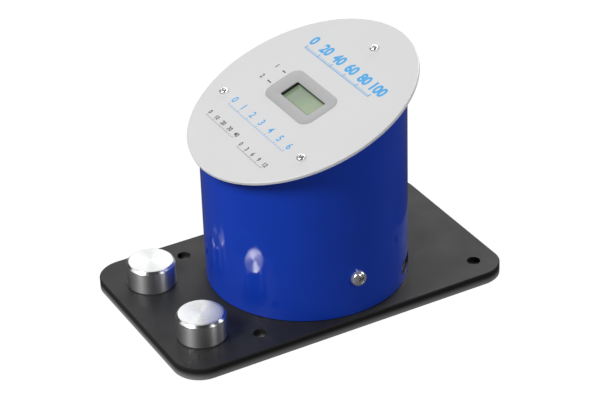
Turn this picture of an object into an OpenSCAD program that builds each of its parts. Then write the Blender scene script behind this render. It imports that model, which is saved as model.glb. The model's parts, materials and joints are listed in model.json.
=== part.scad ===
// Bench torque tester: a measuring shaft in a steel hub on a base plate, under a swivelling
// display housing with a slanted oval face. Millimetres, +Z up, plate lying in X and Y.
// The origin is the middle of the plate's underside. The face rises towards +X.

/* [Base plate] */
// Length of the base plate along X
plate_l = 223; // [200:1:300]
// Width of the base plate along Y
plate_w = 133; // [128:1:180]
// Thickness of the base plate
plate_t = 8; // [8:0.5:14]
// Radius of the plate's corners in plan
plate_corner_r = 17.5; // [6:0.5:30]
// Chamfer along the plate's top and bottom edges
plate_edge = 0.6; // [0.2:0.1:1.5]

/* [Mounting holes] */
// Hole spacing along X
hole_pitch_x = 150; // [140:1:160]
// Hole spacing along Y
hole_pitch_y = 100; // [90:1:106]
// Diameter of the mounting holes
hole_d = 8.4; // [6:0.1:9]
// Distance from the plate's middle to the middle of the hole pattern
hole_shift_x = 20; // [15:0.5:24]

/* [Posts] */
// Diameter of the two posts
post_d = 30; // [26:1:34]
// Height of the posts above the plate
post_h = 15.7; // [14:0.1:30]
// Chamfer round the top of a post
post_edge = 1.2; // [0.5:0.1:3]
// Chamfer round the foot of a post
post_foot_edge = 0.4; // [0.2:0.1:1]
// Distance between the axes of the posts
post_pitch = 67; // [50:1:80]
// Distance from the end of the plate to the axes of the posts
post_inset = 26.5; // [20:0.5:32]

/* [Display housing] */
// Outer diameter of the housing tube
housing_d = 125; // [124:1:130]
// Wall thickness of the housing tube
housing_wall = 3; // [2:0.5:3.5]
// Distance from the plate's middle to the axis of the housing
housing_shift_x = 5; // [0:0.5:10]
// Gap between the housing and the plate
housing_gap = 0.5; // [0.3:0.1:1.5]
// Height of the middle of the face above the plate's underside
face_height = 125.3; // [124:0.1:160]
// Slope of the face
face_tilt = 20; // [10:1:25]

/* [Face plate] */
// Thickness of the face plate
face_t = 2; // [1.5:0.1:3]
// Overhang of the face plate past the housing, measured in the face
face_overhang = 7; // [5:0.5:10]
// Chamfer round the face plate's top edge
face_edge = 0.4; // [0.2:0.1:0.8]
// Distance from the housing's skin in to the circle of face screws
face_screw_inset = 7.5; // [6.5:0.5:9]
// Shift of the face screws' circle down the slope
face_screw_shift = 1.5; // [0:0.1:2]

/* [Display] */
// Length of the bezel across the face
bezel_l = 47.5; // [44:0.5:52]
// Width of the bezel along the slope
bezel_w = 25; // [24:0.5:30]
// Corner radius of the bezel
bezel_r = 6; // [2:0.5:9]
// Height of the bezel above the face
bezel_proud = 0.2; // [0.1:0.1:0.6]
// Distance of the bezel up the slope from the middle of the face
bezel_rise = 1; // [0:0.1:2]
// Distance of the bezel across the face from its middle
bezel_side = 0.5; // [0:0.1:2]
// Length of the display window
window_l = 33; // [28:0.5:35]
// Width of the display window
window_w = 13; // [11:0.5:15]
// Corner radius of the display window
window_r = 0.6; // [0.3:0.1:1.5]
// Distance of the window down the slope from the middle of the bezel
window_drop = 1; // [0:0.1:2]
// Distance of the window across the face from the middle of the bezel
window_side = 1.8; // [0:0.1:2.5]

/* [Screws] */
// Thread diameter of the side screws
side_screw_d = 5; // [4:0.5:6]
// Head diameter of the side screws
side_head_d = 9.5; // [8:0.5:10]
// Height of the side screws above the plate
side_screw_h = 25.4; // [25.2:0.1:28]
// Reach of the side screws into the guide groove
side_screw_in = 1.5; // [1:0.1:2.5]
// Thread diameter of the face screws
face_screw_d = 3; // [2.5:0.1:3.5]
// Head diameter of the face screws
face_head_d = 5.6; // [5:0.1:6.5]
// Length of the face screws under the head
face_screw_l = 5.5; // [4:0.5:6]
// Thread diameter of the post screws
post_screw_d = 10; // [8:1:12]
// Reach of the post screws into the posts
post_screw_in = 10; // [8:1:12]
// Thread diameter of the hub screws
hub_screw_d = 8; // [6:1:8]
// Reach of the hub screws into the hub
hub_screw_in = 14; // [10:1:18]
// Thread diameter of the flange screws
flange_screw_d = 8; // [6:1:8]
// Reach of the flange screws into the hub
flange_screw_in = 15; // [12:1:18]

/* [Connector] */
// Angle of the connector opening round the housing
port_angle = -42; // [-60:1:-30]
// Width of the connector opening
port_w = 20; // [19:0.1:21]
// Height of the connector opening
port_h = 9.5; // [9:0.1:10]
// Height of the opening's middle above the plate
port_z = 8.8; // [8.4:0.1:9]

/* [Swivel] */
// Wall of the swivel ring, from the housing's bore in to the journal
ring_wall = 11.5; // [10.5:0.5:12.5]
// Height of the swivel ring
ring_h = 16; // [15:0.5:18]
// Running clearance between ring and journal, on the radius
running_gap = 0.08; // [0.04:0.01:0.1]
// Turn of the display head to each side, in degrees
swivel_range = 165; // [120:1:168]

/* [Measuring shaft] */
// Width of the square socket
socket_w = 19.2; // [18:0.1:20]
// Depth of the square socket
socket_depth = 26; // [20:1:28]
// Diameter of the shaft's socket end, as a share of the journal's
shaft_end_share = 0.4375; // [0.4:0.0125:0.45]
// Diameter of the measuring neck
neck_d = 30; // [26:1:34]
// Step from the journal in to the edge of the shaft's flange
flange_step = 2; // [1:0.5:3]
// Thickness of the shaft's flange, as a share of the room from the stop lug to the face
flange_share = 0.12; // [0.1:0.01:0.14]
// Height of the hub above the stop lug, as a share of the same room
hub_rise_share = 0.1; // [0.08:0.01:0.12]

/* [Hidden] */
$fn = 96;

// How far a cut runs past the face it opens
overrun = 1;
// Gap between two pieces that are fixed together
fixed_gap = 0.05;
// Gap of a screw in a plain hole, on the radius
screw_gap = 0.25;

// Pan heads: height, dome and cross, as shares of the head
pan_height_share = 0.39;
pan_dome_share = 0.5;
cross_length_share = 0.58;
cross_width_share = 0.15;
cross_depth_share = 0.62;

// Countersunk and cylinder heads: their size and their hexagon, as shares of the thread
flat_head_share = 2;
flat_key_share = 0.6;
flat_key_depth_share = 0.3;
cap_head_share = 1.6;
cap_key_share = 0.75;
cap_key_depth_share = 0.5;
// How deep the countersunk heads lie in the plate
screw_sink = 0.3;

// Posts and their screws
post_x = -plate_l / 2 + post_inset;
post_screw_l = plate_t + post_screw_in;

// Housing and face
housing_r = housing_d / 2;
bore_r = housing_r - housing_wall;
face_a = housing_r / cos(face_tilt) + face_overhang;
face_b = housing_r + face_overhang;
face_screw_pcr = housing_r - face_screw_inset;
face_ring_t = 4;
face_ring_w = 12.4;
// Step round the oval's outline, in degrees
oval_step = 3.75;

// Hub: bore, foot under the shoulder, shoulder, journal and top
journal_r = bore_r - ring_wall;
hub_bore_share = 0.625;
hub_bore_r = journal_r * hub_bore_share;
hub_top_r = journal_r - flange_step;
foot_step = 3;
foot_r = journal_r - foot_step;
shoulder_t = 3;
shoulder_w = 3;
shoulder_r = journal_r + shoulder_w;
screw_axis_z = plate_t + side_screw_h;
guide_play = 0.3;
guide_w = side_screw_d + 2 * guide_play;
guide_depth = 3;

// Swivel ring on its thrust washer
ring_below = 6;
ring_z = screw_axis_z - ring_below;
washer_t = 1;
washer_play = 0.1;
shoulder_z = ring_z - washer_play - washer_t;
wire_slot_w = 8;

// Friction ring in its groove
cord_d = 2.6;
cord_gap = 0.03;
cord_side_gap = 0.2;
cord_above = 6.2;
cord_z = screw_axis_z + cord_above;
cord_mid_r = journal_r + running_gap - cord_gap - cord_d / 2;

// Swivel stop: a pin in the hub and a lug on the ring
journal_over = 1.6;
journal_top = ring_z + ring_h + journal_over;
pin_d = 5;
pin_in = 12;
pin_gap = 0.4;
pin_tip_back = 0.3;
pin_z = journal_top + pin_gap + pin_d / 2;
pin_angle = 180;
lug_w = 5;
lug_gap = 0.3;
lug_in_r = journal_r + lug_gap;
lug_out_r = lug_in_r + lug_w;
lug_top = pin_z + pin_d / 2;
// Half the angle of the lug, so that it comes to the pin at the end of the swivel
lug_half = 180 - swivel_range - asin((pin_d / 2 + lug_gap) / lug_in_r);

// The hub's top, the flange and the posts of the amplifier share the room under the face
room_h = face_height - lug_top;
hub_top = lug_top + room_h * hub_rise_share;
flange_t = room_h * flange_share;
amp_post_share = 0.15;
amp_post_h = room_h * amp_post_share;

// Screws of the hub and of the shaft's flange
hub_screw_count = 6;
hub_screw_pcr = (hub_bore_r + foot_r) / 2;
hub_screw_l = plate_t + hub_screw_in;
flange_screw_count = 8;
flange_screw_pcr = (hub_bore_r + hub_top_r) / 2;
flange_screw_start = 180 / flange_screw_count;
flange_screw_l = flange_t + flange_screw_in;
flange_top = hub_top + flange_t;
side_screw_l = housing_r - journal_r + side_screw_in;

// Measuring shaft: socket end, neck with flats, spigot and flange
shaft_low = 0.4;
socket_floor = 5;
socket_lead = 1.5;
ball_groove_depth = 1;
ball_groove_w = 4;
shaft_end_top = shaft_low + socket_depth + socket_floor;
shaft_taper = 4;
spigot_h = 6;
spigot_low = hub_top - spigot_h;
flat_depth = 1.5;
flat_x = neck_d / 2 - flat_depth;
flat_low = shaft_end_top + shaft_taper;
flat_h = spigot_low - shaft_taper - flat_low;
gauge_l_share = 0.8;
gauge_l = flat_h * gauge_l_share;
gauge_w = 8;
gauge_t = 0.4;
shaft_end_r = journal_r * shaft_end_share;
spigot_r = hub_bore_r - fixed_gap;
// The hole for the leads lies between the neck's taper and the spigot's edge
wire_hole_share = 0.55;
taper_r = neck_d / 2 + shaft_taper;
wire_hole_d = (spigot_r - taper_r) * wire_hole_share;
wire_hole_r = (spigot_r + taper_r) / 2;
bush_wall = 4;
bush_play = 0.06;
bush_in_r = shaft_end_r + bush_play;

// Amplifier board on three standoffs
amp_count = 3;
amp_start = 30;
amp_post_d = 6;
amp_post_clear = 5.6;
amp_rim = 7;
amp_pcr = flange_screw_pcr - (flange_screw_d * cap_head_share + amp_post_d) / 2 - amp_post_clear;
amp_r = amp_pcr + amp_rim;
amp_screw_d = 3;
amp_head_d = 5.6;
amp_screw_in = 3;
amp_z = flange_top + amp_post_h;
board_t = 1.6;
chip_h = 2.5;

// Display board on four standoffs under the face
standoff_h = 8;
standoff_d = 5.5;
standoff_floor = 1;
board_hole_inset = 4;
// Places of the standoffs, as shares of the face ring's opening
board_post_w_share = 0.45;
board_post_l_share = 0.7;
board_w = 2 * ((bore_r - face_ring_w) * board_post_w_share + board_hole_inset);
board_l = 2 * ((bore_r - face_ring_w) * board_post_l_share + board_hole_inset);
board_z = face_t + standoff_h;
board_screw_in = 4;
lcd_border_l = 1.5;
lcd_border_w = 2.5;
lcd_l = window_l + 2 * lcd_border_l;
lcd_w = window_w + 2 * lcd_border_w;
lcd_t = 2.8;
lcd_gap = 0.2;
lcd_z = face_t + lcd_gap + lcd_t;
lcd_wall = 3.5;
lcd_play = 0.2;

// Connector and its bracket, X counted from the housing's axis towards the opening
port_mid = plate_t + port_z;
port_lip = 0.8;
plug_edge = 0.1;
plug_t = 1.1;
plug_body_w = 14;
plug_body_in = 0.6;
plug_body_h = port_h - 2 * plug_body_in;
shell_w = 12;
shell_h = 5.5;
shell_wall = 0.9;
shell_l = 2.4;
shell_slot_w = shell_w - 2 * shell_wall;
shell_slot_h = shell_h - 2 * shell_wall;
bracket_gap = 2;
bracket_t = 1.2;
bracket_w = 24;
bracket_clear = 0.7;
bracket_out = bore_r - bracket_gap;
bracket_in = shoulder_r + bracket_clear;
// The connector's body reaches back to this distance from the hub's foot
plug_clear = 2;
plug_back = bracket_out - foot_r - plug_clear;
bracket_screw_d = 2;
bracket_head_d = 3.8;
bracket_screw_in = 4;
bracket_screw_pitch = 17;

module place_housing() {
    translate([housing_shift_x, 0, 0])
        children();
}

// The face's frame: X up the slope, Y across, Z out of the face, origin in its middle
module on_face() {
    translate([housing_shift_x, 0, face_height])
        rotate([0, -face_tilt, 0])
            children();
}

module toward_port() {
    place_housing()
        rotate([0, 0, port_angle])
            children();
}

module ring_of(count, radius, start = 0) {
    for (i = [0 : count - 1])
        rotate([0, 0, start + i * 360 / count])
            translate([radius, 0, 0])
                children();
}

module place_posts() {
    for (side = [-1, 1])
        translate([post_x, side * post_pitch / 2, 0])
            children();
}

module place_hub_screws() {
    place_housing()
        ring_of(hub_screw_count, hub_screw_pcr)
            children();
}

module place_flange_screws() {
    place_housing()
        ring_of(flange_screw_count, flange_screw_pcr, flange_screw_start)
            children();
}

// Each side screw points along its own Z, with the housing's skin at zero
module place_side_screws() {
    place_housing()
        for (a = [-90, 90])
            rotate([0, 0, a])
                translate([housing_r, 0, screw_axis_z])
                    rotate([0, 90, 0])
                        children();
}

module rounded_rect(l, w, r) {
    square([l - 2 * r, w], center = true);
    square([l, w - 2 * r], center = true);
    for (x = [-1, 1], y = [-1, 1])
        translate([x * (l / 2 - r), y * (w / 2 - r)])
            circle(r = r);
}

module oval(a, b) {
    polygon([for (t = [0 : oval_step : 360 - oval_step]) [a * cos(t), b * sin(t)]]);
}

// A section with a chamfer on all four corners, standing on the X axis
module chamfered_section(w, h, c) {
    polygon([[-w / 2, c], [-w / 2, h - c], [-w / 2 + c, h], [w / 2 - c, h],
        [w / 2, h - c], [w / 2, c], [w / 2 - c, 0], [-w / 2 + c, 0]]);
}

// A turned disc with one chamfer at its foot and one at its top
module turned_disc(r, h, foot_c, top_c) {
    rotate_extrude()
        polygon([[0, 0], [r - foot_c, 0], [r, foot_c], [r, h - top_c], [r - top_c, h], [0, h]]);
}

module chamfered_plate(l, w, t, r, c) {
    rotate([90, 0, 90])
        linear_extrude(l - 2 * r, center = true)
            chamfered_section(w, t, c);
    rotate([90, 0, 0])
        linear_extrude(w - 2 * r, center = true)
            chamfered_section(l, t, c);
    for (x = [-1, 1], y = [-1, 1])
        translate([x * (l / 2 - r), y * (w / 2 - r), 0])
            turned_disc(r, t, c, c);
}

module hexagon(key, h) {
    cylinder(d = key / cos(30), h = h, $fn = 6);
}

// Domed pan head with a cross recess above zero, shank of length l below
module pan_screw(d, head_d, l) {
    head_h = head_d * pan_height_share;
    dome_h = head_h * pan_dome_share;
    dome_r = (pow(head_d / 2, 2) + pow(dome_h, 2)) / (2 * dome_h);
    cross_l = head_d * cross_length_share;
    cross_w = head_d * cross_width_share;
    cross_depth = head_h * cross_depth_share;
    difference() {
        intersection() {
            cylinder(d = head_d, h = head_h);
            translate([0, 0, head_h - dome_r])
                sphere(r = dome_r);
        }
        for (a = [0, 90])
            rotate([0, 0, a])
                translate([-cross_l / 2, -cross_w / 2, head_h - cross_depth])
                    cube([cross_l, cross_w, cross_depth + overrun]);
    }
    translate([0, 0, -l])
        cylinder(d = d, h = l);
}

// Countersunk screw in the plate's underside, with its tip at height l
module flat_screw(d, l) {
    head_d = d * flat_head_share;
    head_h = (head_d - d) / 2;
    translate([0, 0, screw_sink])
        difference() {
            union() {
                cylinder(d1 = head_d, d2 = d, h = head_h);
                cylinder(d = d, h = l - screw_sink);
            }
            translate([0, 0, -overrun])
                hexagon(d * flat_key_share, overrun + d * flat_key_depth_share);
        }
}

// Hole of a countersunk screw through the plate
module flat_screw_hole(d) {
    through_d = d + 2 * screw_gap;
    head_d = d * flat_head_share + 2 * screw_gap;
    translate([0, 0, -overrun])
        cylinder(d = through_d, h = plate_t + 2 * overrun);
    translate([0, 0, -overrun])
        cylinder(d = head_d, h = screw_sink + overrun);
    translate([0, 0, screw_sink])
        cylinder(d1 = head_d, d2 = through_d, h = (head_d - through_d) / 2);
}

// Cylinder head with a hexagon socket above zero, shank of length l below
module cap_screw(d, l) {
    key_depth = d * cap_key_depth_share;
    difference() {
        cylinder(d = d * cap_head_share, h = d);
        translate([0, 0, d - key_depth])
            hexagon(d * cap_key_share, key_depth + overrun);
    }
    translate([0, 0, -l])
        cylinder(d = d, h = l);
}

module base_plate() {
    color("#2a2b2e")
        difference() {
            chamfered_plate(plate_l, plate_w, plate_t, plate_corner_r, plate_edge);
            for (x = [-1, 1], y = [-1, 1])
                translate([hole_shift_x + x * hole_pitch_x / 2, y * hole_pitch_y / 2, -overrun])
                    cylinder(d = hole_d, h = plate_t + 2 * overrun);
            place_posts()
                flat_screw_hole(post_screw_d);
            place_hub_screws()
                flat_screw_hole(hub_screw_d);
            place_housing()
                translate([0, 0, -overrun])
                    cylinder(r = bush_in_r + bush_wall + fixed_gap, h = plate_t + 2 * overrun);
        }
}

module post(side) {
    color("#c9ccd0")
        translate([post_x, side * post_pitch / 2, plate_t])
            difference() {
                turned_disc(post_d / 2, post_h, post_foot_edge, post_edge);
                translate([0, 0, -overrun])
                    cylinder(r = post_screw_d / 2 + fixed_gap, h = post_screw_in + 2 * overrun);
            }
}

module front_post() {
    post(-1);
}

module back_post() {
    post(1);
}

module post_screws() {
    color("#8e9296")
        place_posts()
            flat_screw(post_screw_d, post_screw_l);
}

// Half section of the hub: foot, shoulder, journal with the guide groove and the groove of
// the friction ring, and the top that carries the shaft's flange
module hub_section() {
    guide_lo = screw_axis_z - guide_w / 2;
    guide_hi = screw_axis_z + guide_w / 2;
    guide_r = journal_r - guide_depth;
    cord_lo = cord_z - cord_d / 2 - cord_side_gap;
    cord_hi = cord_z + cord_d / 2 + cord_side_gap;
    cord_r = cord_mid_r - cord_d / 2 - fixed_gap;
    polygon([[hub_bore_r, plate_t], [foot_r, plate_t],
        [foot_r, shoulder_z - shoulder_t], [shoulder_r, shoulder_z - shoulder_t],
        [shoulder_r, shoulder_z], [journal_r, shoulder_z],
        [journal_r, guide_lo], [guide_r, guide_lo],
        [guide_r, guide_hi], [journal_r, guide_hi],
        [journal_r, cord_lo], [cord_r, cord_lo],
        [cord_r, cord_hi], [journal_r, cord_hi],
        [journal_r, journal_top], [hub_top_r, journal_top],
        [hub_top_r, hub_top], [hub_bore_r, hub_top]]);
}

module hub() {
    color("#6f7479")
        difference() {
            place_housing()
                rotate_extrude()
                    hub_section();
            place_hub_screws()
                translate([0, 0, plate_t - overrun])
                    cylinder(r = hub_screw_d / 2 + fixed_gap, h = hub_screw_in + 2 * overrun);
            place_flange_screws()
                translate([0, 0, hub_top - flange_screw_in - overrun])
                    cylinder(r = flange_screw_d / 2 + fixed_gap,
                        h = flange_screw_in + 2 * overrun);
            place_pin()
                cylinder(r = pin_d / 2 + fixed_gap, h = pin_in + overrun);
        }
}

module hub_screws() {
    color("#8e9296")
        place_hub_screws()
            flat_screw(hub_screw_d, hub_screw_l);
}

module shaft_bush() {
    color("#b08d4f")
        place_housing()
            translate([0, 0, shaft_low])
                difference() {
                    cylinder(r = bush_in_r + bush_wall, h = plate_t - shaft_low);
                    translate([0, 0, -overrun])
                        cylinder(r = bush_in_r, h = plate_t + 2 * overrun);
                }
}

module shaft_section() {
    neck_r = neck_d / 2;
    polygon([[0, shaft_low], [shaft_end_r, shaft_low], [shaft_end_r, shaft_end_top],
        [neck_r, flat_low], [neck_r, flat_low + flat_h],
        [taper_r, spigot_low], [spigot_r, spigot_low],
        [spigot_r, hub_top], [hub_top_r, hub_top],
        [hub_top_r, flange_top], [0, flange_top]]);
}

// Square socket with a turned lead-in and a groove for the ball of a drive square
module drive_socket() {
    corner_r = socket_w / sqrt(2);
    translate([-socket_w / 2, -socket_w / 2, shaft_low - overrun])
        cube([socket_w, socket_w, socket_depth + overrun]);
    translate([0, 0, shaft_low - overrun])
        cylinder(r1 = corner_r + overrun, r2 = corner_r - socket_lead, h = socket_lead + overrun);
    translate([0, 0, shaft_low + (socket_depth - ball_groove_w) / 2])
        cylinder(r = socket_w / 2 + ball_groove_depth, h = ball_groove_w);
}

module torque_shaft() {
    color("#a9adb2")
        difference() {
            place_housing()
                difference() {
                    rotate_extrude()
                        shaft_section();
                    drive_socket();
                    for (a = [0 : 90 : 270])
                        rotate([0, 0, a])
                            translate([flat_x, -neck_d / 2, flat_low])
                                cube([neck_d, neck_d, flat_h]);
                    translate([wire_hole_r, 0, spigot_low - overrun])
                        cylinder(d = wire_hole_d, h = spigot_h + flange_t + 2 * overrun);
                    ring_of(amp_count, amp_pcr, amp_start)
                        translate([0, 0, flange_top - amp_screw_in - overrun])
                            cylinder(r = amp_screw_d / 2 + fixed_gap,
                                h = amp_screw_in + 2 * overrun);
                }
            place_flange_screws()
                translate([0, 0, hub_top - overrun])
                    cylinder(r = flange_screw_d / 2 + screw_gap, h = flange_t + 2 * overrun);
        }
}

module flange_screws() {
    color("#3b3d40")
        place_flange_screws()
            translate([0, 0, flange_top])
                cap_screw(flange_screw_d, flange_screw_l);
}

module strain_gauges() {
    middle = flat_low + flat_h / 2;
    color("#c8842f")
        place_housing()
            for (a = [0 : 90 : 270])
                rotate([0, 0, a])
                    translate([flat_x, -gauge_w / 2, middle - gauge_l / 2])
                        cube([gauge_t, gauge_w, gauge_l]);
}

// The pin points along its own Z, with its inner end at zero
module place_pin() {
    place_housing()
        rotate([0, 0, pin_angle])
            translate([hub_top_r - pin_in, 0, pin_z])
                rotate([0, 90, 0])
                    children();
}

module stop_pin() {
    color("#8e9296")
        place_pin()
            cylinder(d = pin_d, h = lug_out_r - pin_tip_back - hub_top_r + pin_in);
}

module thrust_washer() {
    color("#e4e2da")
        place_housing()
            translate([0, 0, shoulder_z])
                difference() {
                    cylinder(r = shoulder_r, h = washer_t);
                    translate([0, 0, -overrun])
                        cylinder(r = journal_r + running_gap, h = washer_t + 2 * overrun);
                }
}

module friction_ring() {
    color("#1b1b1c")
        place_housing()
            translate([0, 0, cord_z])
                rotate_extrude()
                    translate([cord_mid_r, 0])
                        circle(d = cord_d);
}

// Board with two flat chips and a socket for the leads to the display
module amplifier_board() {
    color("#1e6b3a")
        place_housing()
            translate([0, 0, amp_z])
                difference() {
                    union() {
                        cylinder(r = amp_r, h = board_t);
                        translate([-amp_r / 2, -amp_r / 3, board_t])
                            cube([amp_r / 2, amp_r / 2, chip_h]);
                        translate([amp_r / 6, -amp_r / 4, board_t])
                            cube([amp_r / 3, amp_r / 2, chip_h]);
                        translate([-amp_r / 4, amp_r / 2, board_t])
                            cube([amp_r / 2, amp_r / 5, 2 * chip_h]);
                    }
                    ring_of(amp_count, amp_pcr, amp_start)
                        translate([0, 0, -overrun])
                            cylinder(r = amp_screw_d / 2 + screw_gap, h = board_t + 2 * overrun);
                }
}

module amplifier_standoffs() {
    color("#c9a54a")
        place_housing()
            ring_of(amp_count, amp_pcr, amp_start)
                translate([0, 0, flange_top])
                    difference() {
                        cylinder(d = amp_post_d, h = amp_post_h);
                        translate([0, 0, -overrun])
                            cylinder(r = amp_screw_d / 2 + fixed_gap,
                                h = amp_post_h + 2 * overrun);
                    }
}

module amplifier_screws() {
    color("#8e9296")
        place_housing()
            ring_of(amp_count, amp_pcr, amp_start)
                translate([0, 0, amp_z + board_t])
                    pan_screw(amp_screw_d, amp_head_d, board_t + amp_post_h + amp_screw_in);
}

// Everything above the underside of the face plate
module above_rim() {
    reach = 2 * housing_d;
    on_face()
        translate([-reach / 2, -reach / 2, -face_t])
            cube([reach, reach, reach]);
}

module port_cut() {
    toward_port()
        translate([bore_r - overrun, 0, port_mid])
            rotate([90, 0, 90])
                linear_extrude(housing_wall + 2 * overrun)
                    rounded_rect(port_w, port_h, port_h / 3);
}

module housing_tube() {
    foot = plate_t + housing_gap;
    tall = face_height + housing_r * tan(face_tilt) - foot;
    color("#1f4fb0")
        difference() {
            place_housing()
                translate([0, 0, foot])
                    difference() {
                        cylinder(r = housing_r, h = tall);
                        translate([0, 0, -overrun])
                            cylinder(r = bore_r, h = tall + 2 * overrun);
                    }
            above_rim();
            port_cut();
            place_side_screws()
                translate([0, 0, -housing_wall - overrun])
                    cylinder(r = side_screw_d / 2 + screw_gap, h = housing_wall + 2 * overrun);
        }
}

// Wedge that cuts the stop lug out of a disc, from the ring's underside to the lug's top
module lug_wedge() {
    reach = 2 * lug_out_r;
    translate([0, 0, ring_z])
        linear_extrude(lug_top - ring_z)
            polygon([[0, 0], [reach * cos(lug_half), -reach * sin(lug_half)],
                [reach * cos(lug_half), reach * sin(lug_half)]]);
}

// Ring that turns on the journal, with the stop lug standing on it
module swivel_ring() {
    ring_top = ring_z + ring_h;
    color("#9aa0a6")
        difference() {
            place_housing()
                difference() {
                    union() {
                        translate([0, 0, ring_z])
                            cylinder(r = bore_r - fixed_gap, h = ring_h);
                        intersection() {
                            translate([0, 0, ring_z])
                                cylinder(r = lug_out_r, h = lug_top - ring_z);
                            lug_wedge();
                        }
                    }
                    translate([0, 0, ring_z - overrun])
                        cylinder(r = journal_r + running_gap, h = ring_h + overrun);
                    translate([0, 0, ring_top - overrun])
                        cylinder(r = lug_in_r, h = lug_top - ring_top + 2 * overrun);
                }
            place_side_screws()
                translate([0, 0, -side_screw_l])
                    cylinder(r = side_screw_d / 2 + fixed_gap, h = side_screw_l);
            place_bracket_screws()
                translate([0, 0, -overrun])
                    cylinder(r = bracket_screw_d / 2 + fixed_gap,
                        h = bracket_screw_in + 2 * overrun);
            toward_port()
                translate([bore_r - wire_slot_w / 2, -wire_slot_w / 2, ring_z - overrun])
                    cube([wire_slot_w, wire_slot_w, ring_h + 2 * overrun]);
        }
}

module side_screws() {
    color("#c9ccd0")
        place_side_screws()
            pan_screw(side_screw_d, side_head_d, side_screw_l);
}

// Places of the three face screws, in the face's frame
module place_face_screws() {
    translate([-face_screw_shift, 0, 0])
        ring_of(3, face_screw_pcr)
            children();
}

module face_ring() {
    reach = 2 * housing_d;
    color("#6f7479")
        difference() {
            intersection() {
                place_housing()
                    cylinder(r = bore_r - fixed_gap, h = 2 * face_height);
                on_face()
                    translate([-reach / 2, -reach / 2, -face_t - face_ring_t])
                        cube([reach, reach, face_ring_t]);
            }
            place_housing()
                cylinder(r = bore_r - face_ring_w, h = 2 * face_height);
            on_face()
                place_face_screws()
                    translate([0, 0, -face_t - face_ring_t - overrun])
                        cylinder(r = face_screw_d / 2 + fixed_gap, h = face_ring_t + 2 * overrun);
        }
}

module face_plate() {
    color("#dcdddf")
        on_face()
            difference() {
                hull() {
                    translate([0, 0, -face_t])
                        linear_extrude(face_t - face_edge)
                            oval(face_a, face_b);
                    translate([0, 0, -face_t])
                        linear_extrude(face_t)
                            oval(face_a - face_edge, face_b - face_edge);
                }
                place_bezel()
                    translate([0, 0, -face_t - overrun])
                        linear_extrude(face_t + 2 * overrun)
                            rounded_rect(bezel_w + 2 * fixed_gap, bezel_l + 2 * fixed_gap,
                                bezel_r + fixed_gap);
                place_face_screws()
                    translate([0, 0, -face_t - overrun])
                        cylinder(r = face_screw_d / 2 + screw_gap, h = face_t + 2 * overrun);
            }
}

module face_screws() {
    color("#c9ccd0")
        on_face()
            place_face_screws()
                pan_screw(face_screw_d, face_head_d, face_screw_l);
}

module place_bezel() {
    translate([bezel_rise, bezel_side, 0])
        children();
}

module place_window() {
    translate([bezel_rise - window_drop, bezel_side - window_side, 0])
        children();
}

module display_bezel() {
    color("#b9babd")
        on_face()
            difference() {
                place_bezel()
                    translate([0, 0, -face_t])
                        linear_extrude(face_t + bezel_proud)
                            rounded_rect(bezel_w, bezel_l, bezel_r);
                place_window()
                    translate([0, 0, -face_t - overrun])
                        linear_extrude(face_t + bezel_proud + 2 * overrun)
                            rounded_rect(window_w, window_l, window_r);
            }
}

module lcd_panel() {
    color("#9fb093")
        on_face()
            place_window()
                translate([-lcd_w / 2, -lcd_l / 2, -lcd_z])
                    cube([lcd_w, lcd_l, lcd_t]);
}

// Frame on the board, with a pocket for the panel and an opening under it
module lcd_frame() {
    pocket_w = lcd_w + 2 * lcd_play;
    pocket_l = lcd_l + 2 * lcd_play;
    frame_w = pocket_w + 2 * lcd_wall;
    frame_l = pocket_l + 2 * lcd_wall;
    color("#232426")
        on_face()
            place_window()
                difference() {
                    translate([-frame_w / 2, -frame_l / 2, -board_z])
                        cube([frame_w, frame_l, board_z - face_t - lcd_gap]);
                    translate([-pocket_w / 2, -pocket_l / 2, -lcd_z])
                        cube([pocket_w, pocket_l, lcd_t + overrun]);
                    translate([-window_w / 2, -window_l / 2, -board_z - overrun])
                        cube([window_w, window_l, board_z]);
                }
}

module place_board_posts() {
    for (x = [-1, 1], y = [-1, 1])
        translate([x * (board_w / 2 - board_hole_inset), y * (board_l / 2 - board_hole_inset), 0])
            children();
}

// Board with one flat chip and a socket for the leads below it
module display_board() {
    under = board_z + board_t;
    color("#1e6b3a")
        on_face()
            difference() {
                union() {
                    translate([-board_w / 2, -board_l / 2, -under])
                        cube([board_w, board_l, board_t]);
                    translate([-board_w / 6, -board_l / 4, -under - chip_h])
                        cube([board_w / 3, board_l / 4, chip_h]);
                    translate([-board_w / 4, board_l / 8, -under - 2 * chip_h])
                        cube([board_w / 2, board_l / 8, 2 * chip_h]);
                }
                place_board_posts()
                    translate([0, 0, -under - overrun])
                        cylinder(r = face_screw_d / 2 + screw_gap, h = board_t + 2 * overrun);
            }
}

module board_standoffs() {
    color("#c9a54a")
        on_face()
            place_board_posts()
                translate([0, 0, -board_z])
                    difference() {
                        hexagon(standoff_d, standoff_h);
                        translate([0, 0, -overrun])
                            cylinder(r = face_screw_d / 2 + fixed_gap,
                                h = standoff_h - standoff_floor + overrun);
                    }
}

module board_screws() {
    color("#8e9296")
        on_face()
            place_board_posts()
                translate([0, 0, -board_z - board_t])
                    mirror([0, 0, 1])
                        pan_screw(face_screw_d, face_head_d, board_t + board_screw_in);
}

// Flange behind the opening, body through the bracket, and the slot for the plug
module connector() {
    plug_w = port_w - 2 * port_lip;
    plug_h = port_h - 2 * plug_edge;
    color("#161617")
        toward_port()
            difference() {
                union() {
                    translate([bracket_out, -plug_w / 2, port_mid - plug_h / 2])
                        cube([plug_t, plug_w, plug_h]);
                    translate([bracket_out - plug_back, -plug_body_w / 2,
                            port_mid - plug_body_h / 2])
                        cube([plug_back + plug_t, plug_body_w, plug_body_h]);
                }
                translate([bracket_out - shell_l, -shell_slot_w / 2, port_mid - shell_slot_h / 2])
                    cube([2 * shell_l, shell_slot_w, shell_slot_h]);
            }
}

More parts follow.
